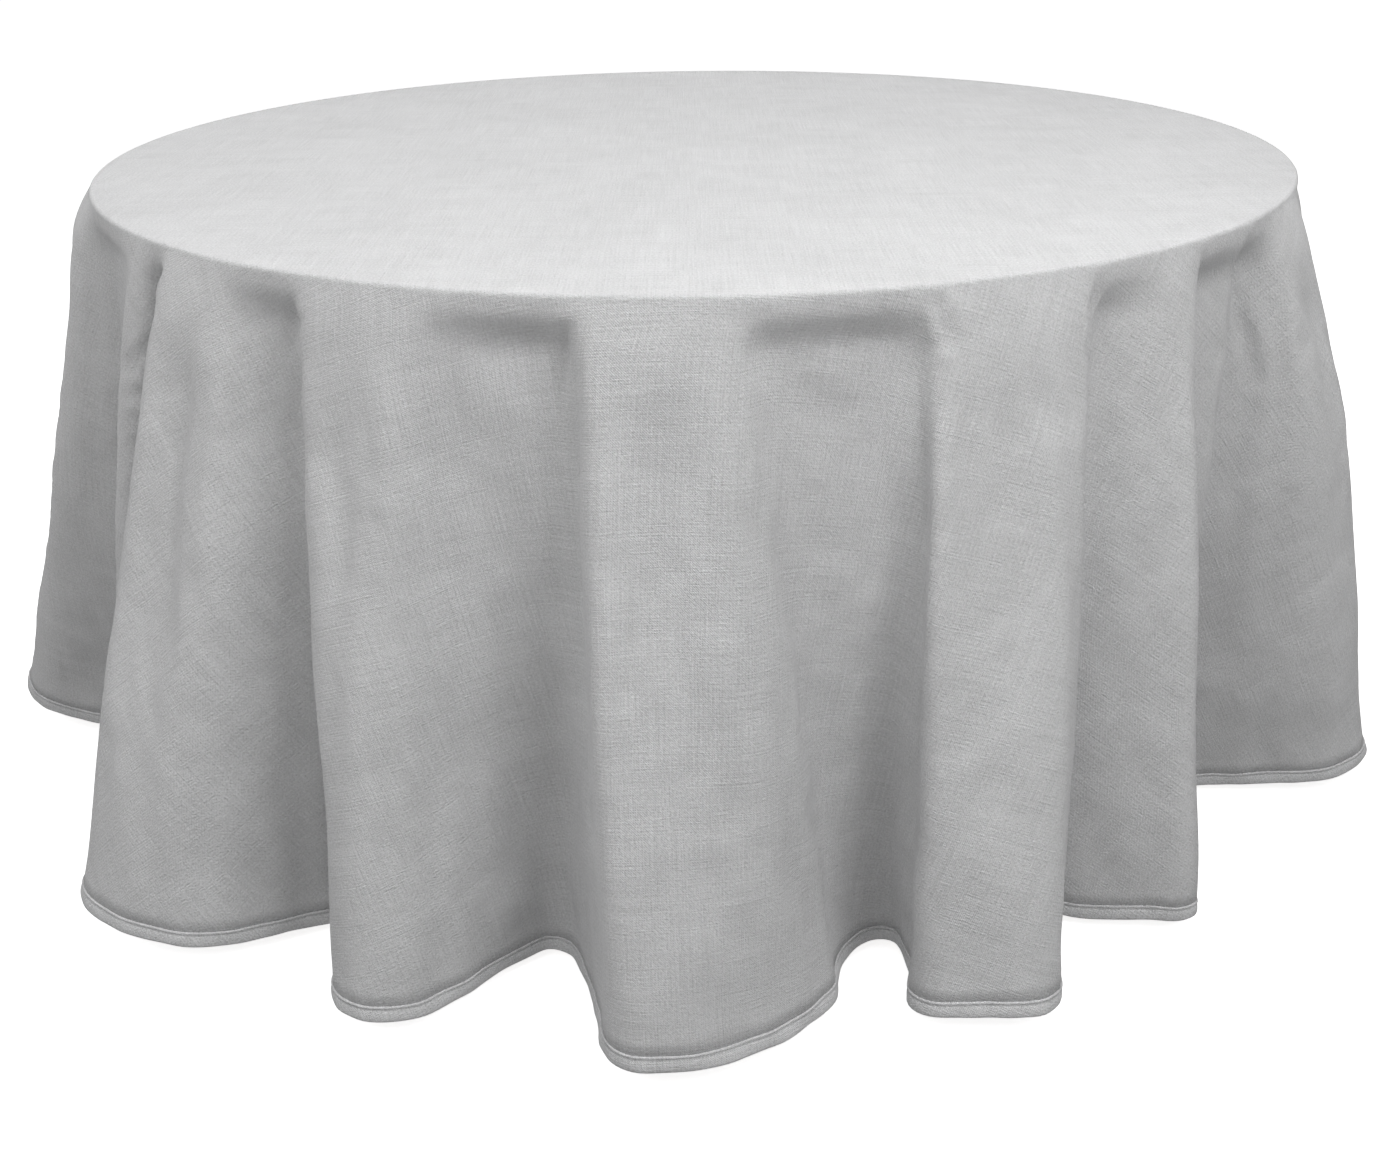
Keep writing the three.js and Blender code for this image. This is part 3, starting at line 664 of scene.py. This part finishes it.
def cloth_material(name, colour, level=1.0):
    """Plain weave of grey cotton and polyester yarn, laid out on the flat cut of the cloth."""
    material, tree, shader = new_material(name)
    uv = wired(tree, "ShaderNodeUVMap", uv_map="cut").outputs["UV"]
    centred = wired(tree, "ShaderNodeVectorMath", {0: uv, 1: (0.5, 0.5, 0.0)},
                    operation="SUBTRACT").outputs[0]
    place = wired(tree, "ShaderNodeVectorMath", {0: centred, "Scale": 2 * CLOTH_RADIUS},
                  operation="SCALE").outputs[0]
    axes = wired(tree, "ShaderNodeSeparateXYZ", {0: place})
    warp = value_of(tree, "SINE", value_of(tree, "MULTIPLY", axes.outputs["X"], math.pi / YARN_PITCH))
    weft = value_of(tree, "SINE", value_of(tree, "MULTIPLY", axes.outputs["Y"], math.pi / YARN_PITCH))
    weave = value_of(tree, "MULTIPLY", warp, weft)
    warp_slub = noise_at(tree, place, 1.0, (620, 9, 1))
    weft_slub = noise_at(tree, place, 1.0, (9, 620, 1))
    cloud = noise_at(tree, place, 5.0, detail=5.0, rough=0.6)
    patch = noise_at(tree, place, 22.0, detail=3.0)
    grain = noise_at(tree, place, 420.0, detail=2.0, rough=0.7)
    shade = total_of(tree, [
        spread_of(tree, warp_slub, 0.27), spread_of(tree, weft_slub, 0.27), spread_of(tree, cloud, 0.19),
        spread_of(tree, patch, 0.14), spread_of(tree, grain, 0.8), value_of(tree, "MULTIPLY", weave, 0.03),
    ])
    # level scales the whole colour: the hem's copy uses 1.04, a lighter copy that is a painted highlight
    # along the hem
    shade = value_of(tree, "MULTIPLY", value_of(tree, "ADD", shade, 1.0), level)
    tree.links.new(tinted(tree, shade, colour), shader.inputs["Base Color"])
    height = total_of(tree, [
        value_of(tree, "MULTIPLY", weave, 0.16), spread_of(tree, warp_slub, 0.72),
        spread_of(tree, weft_slub, 0.72), spread_of(tree, grain, 1.2), spread_of(tree, patch, 3.0),
    ])
    bumped(tree, shader, height, 0.0012)
    shader.inputs["Roughness"].default_value = 0.92
    shader.inputs["Specular IOR Level"].default_value = 0.18
    shader.inputs["Sheen Weight"].default_value = 0.12
    shader.inputs["Sheen Roughness"].default_value = 0.5
    return material


def thread_material():
    material, tree, shader = new_material("sewing_thread")
    place = wired(tree, "ShaderNodeTexCoord").outputs["Object"]
    twist = noise_at(tree, place, 1800.0, detail=1.0)
    shade = value_of(tree, "ADD", spread_of(tree, twist, 0.3), 1.0)
    tree.links.new(tinted(tree, shade, (0.47, 0.47, 0.475)), shader.inputs["Base Color"])
    bumped(tree, shader, twist, 0.0001)
    shader.inputs["Roughness"].default_value = 0.7
    return material


def plywood_material():
    """Birch plywood: long grain with darker late wood, short pores and a clear coat."""
    material, tree, shader = new_material("birch_plywood")
    place = wired(tree, "ShaderNodeTexCoord").outputs["Object"]
    drift = noise_at(tree, place, 2.2, (0.35, 1.6, 1.0), detail=3.0)
    bent = wired(tree, "ShaderNodeCombineXYZ", {"Y": value_of(tree, "MULTIPLY", drift, 0.55)}).outputs[0]
    moved = wired(tree, "ShaderNodeVectorMath", {0: place, 1: bent}, operation="ADD").outputs[0]
    rings = noise_at(tree, moved, 26.0, (0.05, 1.0, 1.0), detail=4.0, rough=0.6)
    pores = noise_at(tree, place, 900.0, (0.05, 1.0, 1.0), detail=2.0)
    figure = value_of(tree, "ADD", rings, spread_of(tree, pores, 0.35))
    ramp = wired(tree, "ShaderNodeValToRGB", {"Fac": figure})
    ramp.color_ramp.elements[0].position = 0.32
    ramp.color_ramp.elements[0].color = (0.40, 0.245, 0.115, 1)
    ramp.color_ramp.elements[1].position = 0.68
    ramp.color_ramp.elements[1].color = (0.64, 0.46, 0.27, 1)
    tree.links.new(ramp.outputs["Color"], shader.inputs["Base Color"])
    tree.links.new(value_of(tree, "ADD", 0.42, spread_of(tree, pores, 0.25)), shader.inputs["Roughness"])
    bumped(tree, shader, figure, 0.0002)
    return material


def band_material():
    material, tree, shader = new_material("moulded_edge_band")
    place = wired(tree, "ShaderNodeTexCoord").outputs["Object"]
    grain = noise_at(tree, place, 700.0, detail=3.0)
    cloud = noise_at(tree, place, 9.0, detail=3.0)
    fine = value_of(tree, "ADD", spread_of(tree, grain, 0.2), 1.0)
    shade = value_of(tree, "ADD", spread_of(tree, cloud, 0.25), fine)
    tree.links.new(tinted(tree, shade, (0.05, 0.035, 0.025)), shader.inputs["Base Color"])
    tree.links.new(value_of(tree, "ADD", 0.42, spread_of(tree, cloud, 0.2)), shader.inputs["Roughness"])
    bumped(tree, shader, grain, 0.00015)
    return material


def paint_material():
    """Grey powder coat with a fine orange-peel texture and faint handling marks."""
    material, tree, shader = new_material("grey_powder_coat")
    place = wired(tree, "ShaderNodeTexCoord").outputs["Object"]
    peel = noise_at(tree, place, 900.0, detail=2.0)
    marks = noise_at(tree, place, 14.0, detail=6.0, rough=0.65)
    fine = value_of(tree, "ADD", spread_of(tree, peel, 0.12), 1.0)
    shade = total_of(tree, [fine, spread_of(tree, marks, 0.3)])
    tree.links.new(tinted(tree, shade, (0.11, 0.115, 0.125)), shader.inputs["Base Color"])
    tree.links.new(value_of(tree, "ADD", 0.45, spread_of(tree, marks, 0.35)), shader.inputs["Roughness"])
    bumped(tree, shader, peel, 0.00015)
    return material


def zinc_material():
    """Bright zinc plate: small crystals with slightly different tints and gloss."""
    material, tree, shader = new_material("bright_zinc")
    place = wired(tree, "ShaderNodeTexCoord").outputs["Object"]
    crystals = wired(tree, "ShaderNodeTexVoronoi", {"Vector": place, "Scale": 260.0}).outputs["Color"]
    tone = wired(tree, "ShaderNodeSeparateXYZ", {0: crystals}).outputs["X"]
    stain = noise_at(tree, place, 40.0, detail=4.0)
    fine = value_of(tree, "ADD", spread_of(tree, tone, 0.16), 1.0)
    shade = total_of(tree, [fine, spread_of(tree, stain, 0.35)])
    tree.links.new(tinted(tree, shade, (0.52, 0.53, 0.55)), shader.inputs["Base Color"])
    tree.links.new(value_of(tree, "ADD", 0.34, spread_of(tree, stain, 0.4)), shader.inputs["Roughness"])
    shader.inputs["Metallic"].default_value = 1.0
    bumped(tree, shader, stain, 0.0001)
    return material


def rubber_material():
    material, tree, shader = new_material("black_rubber")
    place = wired(tree, "ShaderNodeTexCoord").outputs["Object"]
    grain = noise_at(tree, place, 600.0, detail=3.0)
    dust = noise_at(tree, place, 30.0, detail=5.0)
    fine = value_of(tree, "ADD", spread_of(tree, grain, 0.3), 1.0)
    shade = total_of(tree, [fine, spread_of(tree, dust, 0.8)])
    tree.links.new(tinted(tree, shade, (0.022, 0.021, 0.020)), shader.inputs["Base Color"])
    tree.links.new(value_of(tree, "ADD", 0.7, spread_of(tree, dust, 0.3)), shader.inputs["Roughness"])
    bumped(tree, shader, grain, 0.0002)
    return material


CLOTH_GREY = (0.60, 0.60, 0.605)

set_material(cloth, cloth_material("grey_plain_weave", CLOTH_GREY))
# The hem's copy of the weave is 4% lighter than the sheet's: a painted highlight along the rolled hem.
set_material(hem, cloth_material("grey_plain_weave_hem_painted_highlight", CLOTH_GREY, 1.04))
set_material(stitching, thread_material())

NODE_FINISHES = {
    "plywood": plywood_material(),
    "edge_band": band_material(),
    "painted_steel": paint_material(),
    "zinc_steel": zinc_material(),
    "rubber": rubber_material(),
}
for part in frame["record"]["subparts"]:
    if part["material_slot"] in NODE_FINISHES:
        set_material(frame["nodes"][part["node"]], NODE_FINISHES[part["material_slot"]])


# ---------------------------------------------------------------- how the pieces belong to the part

for piece in (cloth, hem, stitching):
    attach(piece, "cloth")
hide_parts("tablecloth")
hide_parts("hem")


# ---------------------------------------------------------------- floor, light

FLOOR_GLOW = 0.80
WORLD_STRENGTH = 0.265
# Name, place, what it points at, width across, and power
SOFTBOXES = [
    ("overhead_middle", (0.0, 0.0, 3.2), (0.0, 0.001, 0.0), 3.0, 22.1),
    ("overhead_front", (0.0, -1.2, 3.0), (0.0, -0.3, 0.3), 2.5, 13.5),
    ("overhead_back", (0.0, 1.2, 2.8), (0.0, 0.2, 0.5), 2.0, 9.0),
    ("rear_left", (-1.8, 2.9, 2.2), (0.0, 0.6, 0.4), 1.8, 12.0),
    ("rear_right", (1.8, 2.9, 2.2), (0.0, 0.6, 0.4), 1.8, 12.0),
    ("front_left", (-1.6, -2.6, 2.4), (0.0, -0.5, 0.5), 1.6, 20.1),
    ("front_right", (1.6, -2.6, 2.4), (0.0, -0.5, 0.5), 1.6, 22.7),
    ("near_right", (0.8, -1.6, 2.0), (0.2, -0.6, 0.6), 1.0, 10.6),
    ("side_left", (-2.6, -1.0, 2.4), (0.0, 0.0, 0.5), 1.6, 13.5),
]


def add_backdrop():
    """A pale floor that curves up into a wall all round, far from the table. It lights itself, evenly."""
    profile = [(0.0, 0.0), (9.0, 0.0)]
    profile += [(9.0 + 3.0 * math.sin(math.radians(t)), 3.0 - 3.0 * math.cos(math.radians(t)))
                for t in range(10, 91, 10)]
    profile.append((12.0, 12.0))
    spokes = 48
    angles = np.arange(spokes) * 2 * math.pi / spokes
    points = [(0, 0, 0)]
    for radius, level in profile[1:]:
        points += [(x, y, level) for x, y in circle(angles, radius)]
    faces = [(0, 1 + spoke, 1 + (spoke + 1) % spokes) for spoke in range(spokes)]
    for ring in range(len(profile) - 2):
        inner, outer = 1 + ring * spokes, 1 + (ring + 1) * spokes
        faces += [(inner + k, outer + k, outer + (k + 1) % spokes, inner + (k + 1) % spokes)
                  for k in range(spokes)]
    backdrop = mesh_object("pale_backdrop", points, faces)
    smooth(backdrop)
    material, tree, shader = new_material("pale_floor")
    shader.inputs["Base Color"].default_value = (0.85, 0.85, 0.85, 1)
    shader.inputs["Roughness"].default_value = 0.95
    shader.inputs["Specular IOR Level"].default_value = 0.0
    shader.inputs["Emission Color"].default_value = (1, 1, 1, 1)
    shader.inputs["Emission Strength"].default_value = FLOOR_GLOW
    set_material(backdrop, material)
    backdrop.visible_diffuse = False


def add_softbox(name, place, aim, size, power):
    data = bpy.data.lights.new(name, "AREA")
    data.shape = "DISK"
    data.size = size
    data.energy = power
    lamp = bpy.data.objects.new(name, data)
    lamp.location = place
    lamp.rotation_euler = (Vector(aim) - Vector(place)).to_track_quat("-Z", "Y").to_euler()
    bpy.context.scene.collection.objects.link(lamp)


def add_light():
    world = bpy.data.worlds.new("studio")
    bpy.context.scene.world = world
    world.use_nodes = True
    world.node_tree.nodes["Background"].inputs["Color"].default_value = (1, 1, 1, 1)
    world.node_tree.nodes["Background"].inputs["Strength"].default_value = WORLD_STRENGTH
    for light in SOFTBOXES:
        add_softbox(*light)


add_backdrop()
add_light()
bpy.context.scene.view_settings.view_transform = "Standard"
